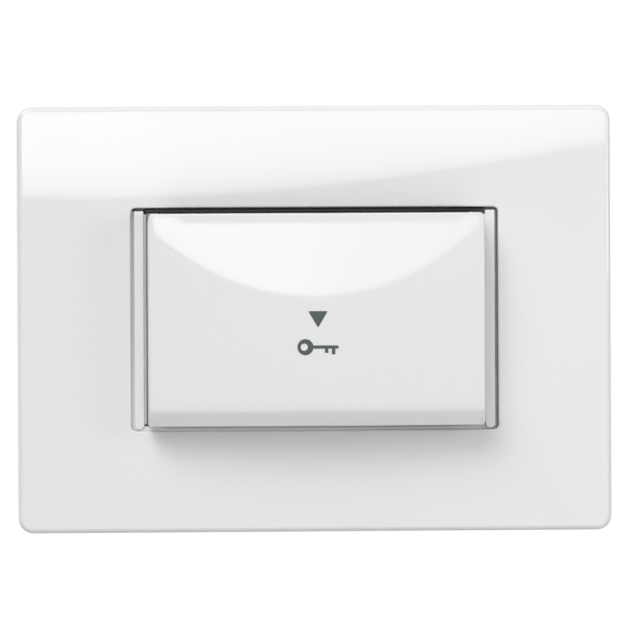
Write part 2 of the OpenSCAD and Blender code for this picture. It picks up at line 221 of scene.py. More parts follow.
def prism(name, loop, a, b, axis, edge=0.0, angle=32.0, n=3):
    """A plane outline carried along an axis, with both end edges rounded."""
    put = AXES[axis]
    rings = []
    steps = [i / n for i in range(n + 1)] if edge > 0 else [1.0]
    for t in steps:
        c, s = math.cos(t * math.pi / 2), math.sin(t * math.pi / 2)
        rings.append([put(p, a + edge * (1 - s)) for p in inset(loop, edge * (c))]
                     if edge > 0 else [put(p, a) for p in loop])
    for t in reversed(steps):
        c, s = math.cos(t * math.pi / 2), math.sin(t * math.pi / 2)
        rings.append([put(p, b - edge * (1 - s)) for p in inset(loop, edge * (c))]
                     if edge > 0 else [put(p, b) for p in loop])
    v, f = loft(rings, caps=True)
    return mesh_object(name, v, f, angle)


def circle(cx, cy, r, n=32):
    return [
        (cx + r * math.cos(2 * math.pi * i / n), cy + r * math.sin(2 * math.pi * i / n))
        for i in range(n)
    ]


def take_place(ob, node, body=None):
    """ob stands for a CAD node and moves with its body."""
    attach(ob, body or BODY[node])
    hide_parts(node)
    return ob


# ---------------------------------------------------------------------------
# materials
# ---------------------------------------------------------------------------
class Nodes:
    """Short names for building one node tree."""

    def __init__(self, tree):
        self.t = tree

    def new(self, kind, **inputs):
        n = self.t.nodes.new(kind)
        for k, v in inputs.items():
            self.put(n, k.replace("_", " "), v)
        return n

    def put(self, node, key, value):
        socket = node.inputs[key]
        if isinstance(value, bpy.types.NodeSocket):
            self.t.links.new(value, socket)
        else:
            socket.default_value = value

    def math(self, op, a, b=None, c=None, clamp=False):
        n = self.t.nodes.new("ShaderNodeMath")
        n.operation, n.use_clamp = op, clamp
        for i, v in enumerate((a, b, c)):
            if v is not None:
                self.put(n, i, v)
        return n.outputs[0]

    def range(self, value, a, b, c, d, kind="SMOOTHSTEP"):
        n = self.t.nodes.new("ShaderNodeMapRange")
        n.interpolation_type = kind
        for i, v in enumerate((value, a, b, c, d)):
            self.put(n, i, v)
        return n.outputs[0]

    def noise(self, vector, scale, detail=2.0, rough=0.5):
        n = self.t.nodes.new("ShaderNodeTexNoise")
        self.t.links.new(vector, n.inputs["Vector"])
        n.inputs["Scale"].default_value = scale
        n.inputs["Detail"].default_value = detail
        n.inputs["Roughness"].default_value = rough
        return n.outputs["Fac"]

    def ramp(self, fac, stops):
        n = self.t.nodes.new("ShaderNodeValToRGB")
        self.t.links.new(fac, n.inputs[0])
        el = n.color_ramp.elements
        while len(el) < len(stops):
            el.new(0.5)
        for e, (p, c) in zip(el, stops):
            e.position, e.color = p, (*c, 1.0)
        return n.outputs[0]


def shade(c, k):
    return tuple(max(0.0, min(1.0, x * k)) for x in c)


def material(name, stretch=(1, 1, 1)):
    m = bpy.data.materials.new(name)
    m.use_nodes = True
    t = m.node_tree
    t.nodes.clear()
    g = Nodes(t)
    out = t.nodes.new("ShaderNodeOutputMaterial")
    b = t.nodes.new("ShaderNodeBsdfPrincipled")
    t.links.new(b.outputs[0], out.inputs[0])
    co = t.nodes.new("ShaderNodeTexCoord")
    mp = t.nodes.new("ShaderNodeMapping")
    mp.inputs["Scale"].default_value = tuple(1000 * s for s in stretch)
    t.links.new(co.outputs["Object"], mp.inputs["Vector"])
    return m, g, b, mp.outputs[0]


def bump(g, b, height, distance_mm, strength=1.0):
    n = g.new("ShaderNodeBump")
    n.inputs["Strength"].default_value = strength
    n.inputs["Distance"].default_value = distance_mm * MM
    g.put(n, "Height", height)
    g.t.links.new(n.outputs[0], b.inputs["Normal"])


def plastic(name, colour, spread, rough, grain, depth, ior=1.5, cloud=22.0, fleck=0.0):
    """Moulded plastic: faint flow clouds, a fine skin, and a little uneven gloss."""
    m, g, b, v = material(name)
    clouds = g.noise(v, 1 / cloud, 3.0, 0.55)
    fine = g.noise(v, 1 / 0.9, 2.0, 0.5)
    mixed = g.math("ADD", g.math("MULTIPLY", clouds, 0.75), g.math("MULTIPLY", fine, 0.25))
    stops = [(0.34, shade(colour, 1 - spread)), (0.5, colour), (0.68, shade(colour, 1 + spread))]
    col = g.ramp(mixed, stops)
    if fleck > 0:
        specks = g.range(g.noise(v, 1 / 0.22, 1.0, 0.4), 0.66, 0.74, 0.0, fleck)
        mix = g.t.nodes.new("ShaderNodeMix")
        mix.data_type = "RGBA"
        g.t.links.new(specks, mix.inputs["Factor"])
        g.t.links.new(col, mix.inputs[6])
        mix.inputs[7].default_value = (*shade(colour, 0.72), 1)
        col = mix.outputs[2]
    g.put(b, "Base Color", col)
    wipe = g.noise(v, 1 / 7.0, 4.0, 0.6)
    g.put(b, "Roughness", g.range(wipe, 0.3, 0.7, rough[0], rough[1]))
    b.inputs["IOR"].default_value = ior
    bump(g, b, g.noise(v, 1 / grain, 3.0, 0.6), depth)
    return m


def metal(name, colour, tint, rough, line=(1, 1, 14), depth=0.004, pitch=0.35):
    """Metal with drawn or milled lines and a little uneven tarnish."""
    m, g, b, v = material(name)
    lines = g.t.nodes.new("ShaderNodeMapping")
    lines.inputs["Scale"].default_value = line
    g.t.links.new(v, lines.inputs["Vector"])
    streak = g.noise(lines.outputs[0], 1 / pitch, 3.0, 0.6)
    patch = g.noise(v, 1 / 2.6, 4.0, 0.65)
    col = g.ramp(patch, [(0.3, shade(colour, 0.86)), (0.52, colour), (0.75, tint)])
    g.put(b, "Base Color", col)
    b.inputs["Metallic"].default_value = 1.0
    both = g.math("ADD", g.math("MULTIPLY", streak, 0.6), g.math("MULTIPLY", patch, 0.4))
    g.put(b, "Roughness", g.range(both, 0.3, 0.7, rough[0], rough[1]))
    bump(g, b, streak, depth)
    return m


MAT = {
    "white_gloss": plastic("white_gloss", (0.80, 0.804, 0.798), 0.006, (0.006, 0.011), 4.0, 0.00003, 1.54, 40.0),
    "pocket_gloss": plastic("pocket_gloss", (0.80, 0.805, 0.80), 0.006, (0.016, 0.026), 4.0, 0.00006, 1.45, 40.0),
    "support_grey": plastic("support_grey", (0.60, 0.61, 0.61), 0.03, (0.42, 0.55), 0.22, 0.010, 1.5, 14.0, 0.25),
    "guide_black": plastic("guide_black", (0.016, 0.017, 0.018), 0.15, (0.38, 0.52), 0.25, 0.006),
    "housing_grey": plastic("housing_grey", (0.58, 0.585, 0.575), 0.025, (0.36, 0.5), 0.26, 0.012, 1.5, 16.0, 0.12),
    "lever_white": plastic("lever_white", (0.74, 0.74, 0.70), 0.02, (0.28, 0.4), 0.5, 0.004),
    "switch_body": plastic("switch_body", (0.045, 0.05, 0.055), 0.12, (0.34, 0.5), 0.2, 0.008, 1.55, 8.0, 0.3),
    "plunger_red": plastic("plunger_red", (0.45, 0.03, 0.03), 0.06, (0.2, 0.3), 0.4, 0.003),
    "zinc_steel": metal("zinc_steel", (0.62, 0.63, 0.64), (0.70, 0.69, 0.62), (0.22, 0.42)),
    "spring_steel": metal("spring_steel", (0.50, 0.51, 0.53), (0.56, 0.55, 0.52), (0.2, 0.36), (3, 3, 3)),
    "brass": metal("brass", (0.74, 0.55, 0.24), (0.82, 0.66, 0.34), (0.2, 0.4), (12, 1, 1)),
    "bronze": metal("bronze", (0.66, 0.40, 0.20), (0.74, 0.5, 0.28), (0.22, 0.4), (1, 1, 12)),
    "contact_silver": metal("contact_silver", (0.80, 0.79, 0.77), (0.86, 0.84, 0.78), (0.24, 0.4), (2, 2, 2)),
    "copper": metal("copper", (0.72, 0.38, 0.22), (0.8, 0.5, 0.32), (0.22, 0.42), (12, 1, 1)),
}


def ink():
    m, g, b, v = material("print_ink")
    g.put(b, "Base Color", g.ramp(g.noise(v, 1 / 0.3, 3.0, 0.6),
                                  [(0.3, (0.060, 0.078, 0.066)), (0.7, (0.085, 0.105, 0.09))]))
    g.put(b, "Roughness", g.range(g.noise(v, 1 / 0.12, 2.0, 0.5), 0.3, 0.7, 0.3, 0.42))
    bump(g, b, g.noise(v, 1 / 0.12, 2.0, 0.5), 0.002)
    return m


MAT["ink"] = ink()


def dress(ob, slot):
    ob.data.materials.clear()
    ob.data.materials.append(MAT[slot])
    return ob


# ---------------------------------------------------------------------------
# cover plate
# ---------------------------------------------------------------------------
PLATE_W, PLATE_H, PLATE_D, PLATE_R, PLATE_E = 120.0, 86.0, 9.0, 3.0, 1.0
OPEN_W, OPEN_H, OPEN_E = 74.3, 45.0, 0.35
IN_Y = -6.8


def plate_rings():
    out = []
    add = lambda w, h, r, y: out.append(ring(w, h, r, y))
    arc = lambda n: [math.pi / 2 * i / n for i in range(n + 1)]
    # rim on the wall, then up the outside
    add(PLATE_W - 2.6, PLATE_H - 2.6, 1.9, 0)
    add(PLATE_W - 0.4, PLATE_H - 0.4, PLATE_R - 0.2, 0)
    for a in arc(3):
        i = 0.2 * (1 - math.sin(a))
        add(PLATE_W - 2 * i, PLATE_H - 2 * i, PLATE_R - i, -0.2 * (1 - math.cos(a)))
    add(PLATE_W, PLATE_H, PLATE_R, -0.25)
    add(PLATE_W, PLATE_H, PLATE_R, -4)
    add(PLATE_W, PLATE_H, PLATE_R, -PLATE_D + PLATE_E + 0.05)
    for a in arc(10):
        i = PLATE_E * (1 - math.cos(a))
        add(PLATE_W - 2 * i, PLATE_H - 2 * i, PLATE_R - i,
            -PLATE_D + PLATE_E - PLATE_E * math.sin(a))
    # front face
    w0, h0, r0 = PLATE_W - 2 * PLATE_E, PLATE_H - 2 * PLATE_E, PLATE_R - PLATE_E
    w1, h1, r1 = OPEN_W + 2 * OPEN_E, OPEN_H + 2 * OPEN_E, 1.0 + OPEN_E
    for t in [0.002] + [i / 18 for i in range(1, 18)] + [0.998, 1.0]:
        add(w0 + (w1 - w0) * t, h0 + (h1 - h0) * t, r0 + (r1 - r0) * t, -PLATE_D)
    for a in arc(6)[1:]:
        i = OPEN_E * (1 - math.sin(a))
        add(OPEN_W + 2 * i, OPEN_H + 2 * i, 1.0 + i, -PLATE_D + OPEN_E * (1 - math.cos(a)))
    # down the opening, round the collar
    add(OPEN_W, OPEN_H, 1.0, -PLATE_D + OPEN_E + 0.03)
    add(OPEN_W, OPEN_H, 1.0, -6)
    add(OPEN_W, OPEN_H, 1.0, -3.35)
    add(OPEN_W + 0.3, OPEN_H + 0.3, 1.15, -3.2)
    add(OPEN_W + 2.9, OPEN_H + 2.9, 1.65, -3.2)
    add(OPEN_W + 3.2, OPEN_H + 3.2, 1.8, -3.35)
    for a in arc(4):
        i = 0.4 * (1 - math.cos(a))
        add(OPEN_W + 3.2 + 2 * i, OPEN_H + 3.2 + 2 * i, 1.8 + i, IN_Y + 0.4 * (1 - math.sin(a)))
    # ceiling and side of the hollow
    for a in arc(4):
        i = 0.5 * (1 - math.sin(a))
        add(PLATE_W - 4.4 - 2 * i, PLATE_H - 4.4 - 2 * i, 1.5, IN_Y + 0.5 * (1 - math.cos(a)))
    add(PLATE_W - 4.4, PLATE_H - 4.4, 1.5, -0.2)
    add(PLATE_W - 4.1, PLATE_H - 4.1, 1.6, 0)
    return out


def plate_lean(x):
    """How far the moulded face leans back, in radians, from its left end to its right."""
    u = x / 60.0
    return 0.00142 + u * (-0.00188 + u * (-0.00042 + u * 0.00017))


def make_plate():
    v, f = loft(plate_rings(), closed=True)
    v = np.array(v)
    w = smooth((-v[:, 1] - 7.0) / 1.8)
    v[:, 1] += w * (plate_lean(v[:, 0]) * v[:, 2] + 0.06)
    ob = mesh_object("cover_plate_moulding", v, f, 40)
    for s in (-1, 1):
        cut = prism("cut", circle(s * 41.75, 0, 4.25, 48), -5.6, 1, "y")
        boolean(ob, [cut], "DIFFERENCE", 40)
    for sx in (-1, 1):
        for sz in (-1, 1):
            loop = [(-8.0, 31 * sz), (-8.0, 32.6 * sz), (-1.15, 32.6 * sz),
                    (-1.15, 33.3 * sz), (-0.4, 32.7 * sz), (-0.4, 31 * sz)]
            hook = prism("hook", rounded(loop, [0, 0, 0.1, 0.12, 0.15, 0.2], 3),
                         sx * 48 - 3, sx * 48 + 3, "x", 0.07)
            boolean(ob, [hook], "UNION", 40)
    take_place(dress(ob, "white_gloss"), "cover_plate")
    return ob


# ---------------------------------------------------------------------------
# pocket cover
# ---------------------------------------------------------------------------
HW, TOP, BOT, BACK = 33.9, 21.3, -21.5, -4.65
CR, CV, FRONT = 300.0, 500.0, 18.96
AX = CR - FRONT  # y of the crown's axis
FLOOR = -18.4


def sag(z):
    return CV - math.sqrt(CV * CV - z * z)


def front_y(x, d):
    return AX - math.sqrt((CR - d) ** 2 - x * x)


def pocket_profile():
    """Height, depth behind the crown and half width, from the bottom edge to the top."""
    rows = []
    k = 2.0 / 3.4
    knee = -18.45

    def depth(z):
        u = knee - z
        return sag(z) + k / 2 * (u + math.sqrt(u * u + 0.30))

    edge = 0.45
    c = math.atan(k)  # bevel's lean
    # lower edge rounded from the underside into the bevel
    z0 = BOT + edge * (1 - math.sin(c))
    d0 = depth(z0)
    for i in range(6):
        a = math.pi / 2 - (math.pi / 2 - c) * i / 5
        rows.append((BOT + edge * (1 - math.sin(a)), d0 + edge * (math.cos(c) - math.cos(a))))
    z = z0
    for z in np.linspace(z0, FLOOR, 16)[1:]:
        rows.append((float(z), depth(float(z))))
    # upper edge rounded off
    lip = 0.4
    c = math.asin(TOP / CV)
    z1 = TOP - lip * (1 - math.sin(c))
    for z in (list(np.linspace(FLOOR, -14, 8)[1:]) + list(np.linspace(-14, 15, 36)[1:])
              + list(np.linspace(15, 18.4, 9)[1:]) + list(np.linspace(18.4, z1, 12)[1:])):
        rows.append((float(z), depth(float(z))))
    d1 = depth(z1)
    for i in range(1, 8):
        a = c + (math.pi / 2 - c) * i / 7
        rows.append((TOP - lip * (1 - math.sin(a)), d1 + lip * (math.cos(c) - math.cos(a))))
    full = []
    for z, d in rows:
        h, r = HW, 2.3
        if z > TOP - r:
            h -= 0.75 * (1 - math.sqrt(max(1 - ((z - TOP + r) / r) ** 2, 0)))
        r = 0.4
        if z < BOT + r:
            h -= r - math.sqrt(max(r * r - (BOT + r - z) ** 2, 0))
        full.append((z, d, h))
    return full


N_SIDE, N_ARC, N_FRONT = 4, 5, 84


def outer_chain(z, d, hw):
    e = 0.45
    r = CR - d
    cx, cy = hw - e, AX - math.sqrt((r - e) ** 2 - (hw - e) ** 2)
    u = np.array([cx, cy - AX]) / (r - e)
    a1 = math.atan2(u[1], u[0])
    half = []  # right side, from the back forwards
    for i in range(N_SIDE):
        half.append((hw, BACK + (cy - BACK) * i / N_SIDE, z))
    for i in range(N_ARC):
        a = 0 + a1 * i / N_ARC
        half.append((cx + e * math.cos(a), cy + e * math.sin(a), z))
    xt = cx + e * math.cos(a1)
    front = [(x, front_y(x, d), z) for x in np.linspace(xt, -xt, N_FRONT + 1)]
    return half + front + [(-x, y, z) for x, y, z in reversed(half)]


def inner_chain(z, grow):
    d = 2.0 + sag(z) - grow
    x0, e = 30.2 + grow, 0.9
    r = CR - d
    cx, cy = x0 - e, AX - math.sqrt((r - e) ** 2 - (x0 - e) ** 2)
    u = np.array([cx, cy - AX]) / (r - e)
    a1 = math.atan2(u[1], u[0])
    half = [(31.5 + grow, BACK, z), (31.5 + grow, -8.85 - grow, z), (x0, -8.85 - grow, z), (x0, -11.5, z)]
    for i in range(N_ARC):
        a = a1 * i / N_ARC
        half.append((cx + e * math.cos(a), cy + e * math.sin(a), z))
    xt = cx + e * math.cos(a1)
    front = [(x, front_y(x, d), z) for x in np.linspace(xt, -xt, N_FRONT + 1)]
    return half + front + [(-x, y, z) for x, y, z in reversed(half)]


def make_pocket():
    rows = pocket_profile()
    start = next(i for i, r in enumerate(rows) if abs(r[0] - FLOOR) < 1e-6)
    outer = [outer_chain(*r) for r in rows]
    inner = []
    for z, d, h in rows[start:]:
        t = max(0.0, (z - (TOP - 0.35)) / 0.35)
        inner.append(inner_chain(z, 0.2 * (1 - math.sqrt(max(1 - t * t, 0)))))
    n = len(outer[0])
    verts = [p for c in outer for p in c] + [p for c in inner for p in c]
    base = len(outer) * n
    faces = []
    for i in range(len(outer) - 1):
        for j in range(n - 1):
            a = i * n + j
            faces.append((a, a + 1, a + n + 1, a + n))
    for i in range(len(inner) - 1):
        for j in range(n - 1):
            a = base + i * n + j
            faces.append((a, a + n, a + n + 1, a + 1))
    top_o, top_i = (len(outer) - 1) * n, base + (len(inner) - 1) * n
    for j in range(n - 1):
        faces.append((top_o + j, top_o + j + 1, top_i + j + 1, top_i + j))
    # back faces of the two side walls
    for i in range(len(inner) - 1):
        o, q = (start + i) * n, base + i * n
        faces.append((o, o + n, q + n, q))
        o, q = o + n - 1, q + n - 1
        faces.append((o, q, q + n, o + n))
    # floor, and the underside in strips from side to side
    faces.append(tuple(base + j for j in range(n)))
    for j in range(n // 2 - 1):
        faces.append((n - 1 - j, n - 2 - j, j + 1, j))
    if n % 2:
        faces.append((n // 2 + 1, n // 2, n // 2 - 1))
    back = [i * n for i in range(start + 1)] + [base, base + n - 1]
    back += [i * n + n - 1 for i in range(start, -1, -1)]
    faces.append(tuple(back))
    ob = mesh_object("pocket_cover_moulding", verts, faces, 40)
    for s in (-1, 1):
        loop = [(-17.6, FLOOR - 0.3), (-11.7, FLOOR - 0.3), (-11.7, 9), (-17.6, 17)]
        rib = prism("rib", rounded(loop, [0, 0, 1.2, 0], 5), s * 8 - 0.6, s * 8 + 0.6, "x", 0.2)
        boolean(ob, [rib], "UNION", 40)
    for sx in (-1, 1):
        for sz in (-1, 1):
            loop = [(32.1 * sx, -5.2), (33.3 * sx, -5.2), (33.3 * sx, -2.95),
                    (34.0 * sx, -2.95), (33.4 * sx, -2.1), (32.1 * sx, -2.1)]
            hook = prism("hook", rounded(loop, [0, 0, 0.08, 0.1, 0.15, 0.15], 3),
                         sz * 12 - 2, sz * 12 + 2, "z", 0.06)
            boolean(ob, [hook], "UNION", 40)
    take_place(dress(ob, "pocket_gloss"), "pocket_cover")
    return ob


# ---------------------------------------------------------------------------
# print on the pocket: an arrow and a key, laid on the crown
# ---------------------------------------------------------------------------
PRINT_X = 0.09


def dense(loop, step=0.3):
    out = []
    n = len(loop)
    for i in range(n):
        p, q = np.array(loop[i], float), np.array(loop[(i + 1) % n], float)
        k = max(1, int(math.ceil(np.linalg.norm(q - p) / step)))
        out += [tuple(p + (q - p) * j / k) for j in range(k)]
    return out


def inside(p, loop):
    x, y = p
    hit = False
    n = len(loop)
    for i in range(n):
        (x0, y0), (x1, y1) = loop[i], loop[(i + 1) % n]
        if (y0 > y) != (y1 > y) and x < (x1 - x0) * (y - y0) / (y1 - y0) + x0:
            hit = not hit
    return hit


def decal(name, outline, holes=(), thick=0.03):
    loops = [dense(l) for l in (outline, *holes)]
    pts, edges = [], []
    for l in loops:
        b = len(pts)
        pts += l
        edges += [(b + i, b + (i + 1) % len(l)) for i in range(len(l))]
    lo, hi = np.min(outline, axis=0), np.max(outline, axis=0)
    for x in np.arange(lo[0] + 0.2, hi[0], 0.4):
        for z in np.arange(lo[1] + 0.2, hi[1], 0.4):
            p = (float(x), float(z))
            if inside(p, outline) and not any(inside(p, h) for h in holes):
                if min(math.dist(p, q) for q in pts) > 0.15:
                    pts.append(p)
    v, e, f, *_ = delaunay_2d_cdt([Vector(p) for p in pts], edges, [], 1, 1e-6)
    keep = []
    for t in f:
        c = sum((v[i] for i in t), Vector((0, 0))) / len(t)
        c = (c.x, c.y)
        if inside(c, outline) and not any(inside(c, h) for h in holes):
            keep.append(tuple(t))
    m = len(v)
    verts = []
    for off in (-thick, 0.02):
        for p in v:
            x, z = p.x + PRINT_X, p.y
            verts.append((x, front_y(x, sag(z)) + off, z))
    faces = keep + [tuple(m + i for i in reversed(t)) for t in keep]
    count = {}
    for t in keep:
        for i in range(len(t)):
            a, b = t[i], t[(i + 1) % len(t)]
            count.setdefault((min(a, b), max(a, b)), []).append((a, b))
    for uses in count.values():
        if len(uses) == 1:
            a, b = uses[0]
            faces.append((b, a, m + a, m + b))
    ob = mesh_object(name, verts, faces, 50)
    dress(ob, "ink")
    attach(ob, "root")
    return ob


def make_print():
    tri = rounded([(-1.97, 1.62), (1.97, 1.62), (0.0, -1.72)], 0.12, 3)
    decal("arrow_print", tri)
    # a key lying on its side: round bow, straight blade, three bits
    cx, cz, r = -2.55, -5.6, 1.62
    h = 0.33
    a0 = math.asin(h / r)
    bow = [(cx + r * math.cos(t), cz + r * math.sin(t))
           for t in np.linspace(a0, 2 * math.pi - a0, 40)]
    tip = 4.2
    blade = [(1.35, cz - h), (1.35, cz - h - 0.85), (2.05, cz - h - 0.85), (2.05, cz - h),
             (2.75, cz - h), (2.75, cz - h - 1.15), (3.45, cz - h - 1.15), (3.45, cz - h),
             (tip - 0.25, cz - h), (tip, cz), (tip - 0.25, cz + h)]
    hole = circle(cx - 0.25, cz, 0.72, 26)
    decal("key_print", bow + blade, [hole])


# ---------------------------------------------------------------------------
# springs
# ---------------------------------------------------------------------------
def make_spring(name, node, x, z, y0, y1, mean_r, wire, turns):
    per, sides = 36, 12
    n = turns * per
    a, b, c = y0 + wire / 2, y1 - wire / 2, wire * 1.05
    verts = []
    for i in range(n + 1):
        u = turns * i / n
        y = a + c * u if u < 1 else b - c * (turns - u) if u > turns - 1 else \
            a + c + (b - a - 2 * c) * (u - 1) / (turns - 2)
        w = 2 * math.pi * u
        s = wire / 2
        if i in (0, n):
            s *= 0.8
        for k in range(sides):
            q = 2 * math.pi * k / sides
            r = mean_r + s * math.cos(q)
            verts.append((x + r * math.cos(w), y + s * math.sin(q), z + r * math.sin(w)))
    rings = [verts[i * sides:(i + 1) * sides] for i in range(n + 1)]
    v, f = loft(rings, caps=True)
    ob = mesh_object(name, v, f, 50)
    take_place(dress(ob, SLOT[node]), node)
    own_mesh(ob)
    return ob


# ---------------------------------------------------------------------------
# pieces that keep the CAD shape, with their edges rounded
# ---------------------------------------------------------------------------
def refine(node, edge=0.12, segments=2, angle=30.0, keep=None):
    """keep tells, from an edge's middle in millimetres, which edges stay sharp."""
    bm = bmesh.new()
    bm.from_mesh(nodes[node].data)
    bmesh.ops.remove_doubles(bm, verts=bm.verts, dist=2e-6)
    bmesh.ops.dissolve_limit(bm, angle_limit=math.radians(0.4), verts=bm.verts, edges=bm.edges)
    if edge > 0:
        sharp = [e for e in bm.edges
                 if len(e.link_faces) == 2 and e.calc_face_angle(0) > math.radians(angle)]
        if keep:
            sharp = [e for e in sharp
                     if not keep(*((e.verts[0].co + e.verts[1].co) * (0.5 / MM)))]
        bmesh.ops.bevel(bm, geom=sharp, offset=edge * MM, offset_type="OFFSET",
                        segments=segments, profile=0.5, affect="EDGES", clamp_overlap=False)
        bmesh.ops.dissolve_degenerate(bm, dist=3e-7, edges=bm.edges)
    ob = even(link_mesh(node + "_piece", bm, 38))
    take_place(dress(ob, SLOT[node]), node)
    return ob


make_plate()
make_pocket()
make_print()
make_spring("lever_spring_wire", "lever_spring", 0, -9, -1.77, 10.37, 2.25, 0.5, 7)
make_spring("blade_spring_wire", "blade_spring", 4.5, 1.75, 9.23, 12.57, 1.3, 0.35, 5)
def make_rails():
    """The module frame, its ledges and sill brought close to the plate and the pocket."""
    def hidden(x, y, z):
        return (abs(x) > 36.75 or abs(z) > 22.1 or 33.9 < abs(x) < 34.2
                or -21.8 < z < -21.55 or abs(x - 34.55) < 0.05
                or abs(y + 7.4) < 0.03 or abs(y + 5.5) < 0.03
                or abs(y + 8.4) < 0.03 and z < -21.2)

    def along(points, t):
        return float(np.interp(t, *zip(*points))) * MM

    ob = refine("module_frame", 0.22, 3, keep=hidden)
    # the ledges drop away above the rails' upper ends
    bm = bmesh.new()
    bm.from_mesh(ob.data)
    for co, no in (((0, 0, 21.88), (0, 0, 1)), ((0, 0, 21.93), (0, 0, 1)),
                   ((-33, 0, 0), (1, 0, 0)), ((-30, 0, 0), (1, 0, 0)), ((5, 0, 0), (1, 0, 0))):
        bmesh.ops.bisect_plane(bm, geom=bm.verts[:] + bm.edges[:] + bm.faces[:], dist=1e-7,
                               plane_co=Vector(co) * MM, plane_no=no)
    for v in bm.verts:
        x, y, z = v.co / MM
        v.co.x += math.copysign(0.06 * MM * min(max((abs(x) - 36.1) / 0.95, 0), 1), x)
        v.co.z += math.copysign(0.06 * MM * min(max((abs(z) - 21.45) / 0.95, 0), 1), z)
        if 34.0 < abs(x) < 34.1:
            v.co.x = math.copysign(33.93 * MM, x)
        if -21.7 < z < -21.6:
            v.co.z = -21.53 * MM
        ledge = abs(y + 7.4) < 0.01 and x < -34.6 or abs(y + 5.5) < 0.01
        if ledge and z > 21.9:
            v.co.y = -4.9 * MM
        elif ledge:
            v.co.y = along(LEDGE_Y if x < 0 else RIGHT_Y, z)
        elif abs(y + 8.4) < 0.01 and z < -21.5:
            v.co.y = along(SILL_Y, x)
    bmesh.ops.dissolve_degenerate(bm, dist=3e-7, edges=bm.edges)
    face_out(bm)
    bm.to_mesh(ob.data)
    bm.free()
    soften(ob.data, 38)
    even(ob)


# fronts of the ledges from bottom to top, and of the sill from left to right
LEDGE_Y, RIGHT_Y = ((-22.5, -7.9), (22.5, -6.9)), ((-22.5, -5.6), (22.5, -5.4))
SILL_Y = (-33, -8.4), (-30, -8.8), (5, -8.8), (34, -7.4)
make_rails()


def rect(w, h, r, x=0.0, z=0.0, n=6):
    loop = [(-w / 2, -h / 2), (w / 2, -h / 2), (w / 2, h / 2), (-w / 2, h / 2)]
    return [(x + a, z + b) for a, b in rounded(loop, r, n)]


def stroke(path, width):
    """Outline of a line with that width along an open path."""
    pts = [np.array(p, float) for p in path]
    left, right = [], []
    for i, p in enumerate(pts):
        a = p - pts[i - 1] if i else pts[1] - p
        b = pts[i + 1] - p if i < len(pts) - 1 else a
        a, b = a / np.linalg.norm(a), b / np.linalg.norm(b)
        m = np.array([-a[1] - b[1], a[0] + b[0]])
        m = m / max(np.dot(m, m), 0.35) * width
        left.append(tuple(p + m))
        right.append(tuple(p - m))
    return left + right[::-1]


def arc(cx, cz, r, a0, a1, n):
    return [(cx + r * math.cos(math.radians(a0 + (a1 - a0) * i / n)),
             cz + r * math.sin(math.radians(a0 + (a1 - a0) * i / n))) for i in range(n + 1)]


def sink(ob, loops, a, b, axis):
    """Cuts plane outlines into a face; a pair of outlines makes a groove between them."""
    put = AXES[axis]
    verts, faces = [], []
    for loop in loops:
        if isinstance(loop, tuple):
            v, f = loft([[put(q, t) for q in l] for l, t in
                         ((loop[0], a), (loop[0], b), (loop[1], b), (loop[1], a))], closed=True)
        else:
            v, f = loft([[put(q, t) for q in loop] for t in (a, b)], caps=True)
        faces += [tuple(i + len(verts) for i in q) for q in f]
        verts += v
    boolean(ob, [mesh_object("cut", verts, faces)], "DIFFERENCE", 38)


def numeral(k, x, z):
    """Outline of a plain number that is read from behind, so x runs the other way."""
    path = {
        1: [(-0.62, 0.85), (0.0, 1.5), (0.0, -1.5)],
        2: arc(0, 0.68, 0.82, 170, -40, 10) + [(-0.85, -1.5), (0.9, -1.5)],
        3: [(-0.8, 1.5), (0.75, 1.5), (-0.12, 0.36)] + arc(-0.02, -0.62, 0.88, 62, -150, 10),
    }[k]
    return [(x - a, z + b) for a, b in stroke(path, 0.42)]


def make_support():
    ob = refine("mounting_frame", 0.3, 3)
    up = [(-1.7, 0.0), (1.7, 0.0), (0.0, 2.6)]
    marks = [[(x + a, 26.4 + b) for a, b in rounded(up, 0.2, 3)] for x in (-26, 26)]
    marks += [(rect(104.4, 71.4, 2.0), rect(103.4, 70.4, 1.5))]
    marks += [(rect(74.0, 48.2, 1.2), rect(73.2, 47.4, 0.8))]
    sink(ob, marks, -0.35, 0.6, "y")
    sink(ob, [rect(12.6, 8.4, 4.19, s * 41.75, 0, 12) for s in (-1, 1)], -0.6, 0.6, "y")
    even(ob)


def make_housing():
    ob = refine("rear_housing", 0.2, 3)
    sink(ob, [rect(62.75, 16.0, 0.9, 0, 10.3)], 23.75, 24.6, "y")
    marks = [numeral(k, x, -0.9) for k, x in ((1, 10.5), (2, 0.0), (3, -10.5))]
    # stripping gauge
    marks += [[(19.4, -12.6), (20.0, -12.6), (20.0, -11.0), (28.4, -11.0), (28.4, -12.6),
               (29.0, -12.6), (29.0, -8.8), (28.4, -8.8), (28.4, -10.4), (20.0, -10.4),
               (20.0, -8.8), (19.4, -8.8)]]
    marks += [circle(-26.5, -10.6, 2.1, 40)]
    sink(ob, marks, 23.7, 24.6, "y")
    sink(ob, [circle(sx * 27.5, 10.3, 2.1, 40) for sx in (-1, 1)], 23.6, 24.6, "y")
    for s in (-1, 1):
        sink(ob, [rect(15.0, 30.0, 1.0, 13.2, 0)], s * 33.7 - (0.6 if s < 0 else 0.0),
             s * 33.7 + (0.6 if s > 0 else 0.0), "x")
    sink(ob, [rect(54.0, 15.0, 1.0, 0, 13.2)], 20.7, 21.5, "z")
    even(ob)


make_support()
refine("card_guide", 0.12, 2)
make_housing()
for n in ("housing_screws", "card_lever", "pivot_pin", "microswitch_base", "microswitch_lid",
          "switch_plunger", "contact_blade", "moving_contact", "common_terminal",
          "open_terminal", "closed_terminal", "fixed_contacts", "microswitch_screws",
          "terminal_blocks", "terminal_screws", "terminal_links"):
    refine(n, 0.08, 2)


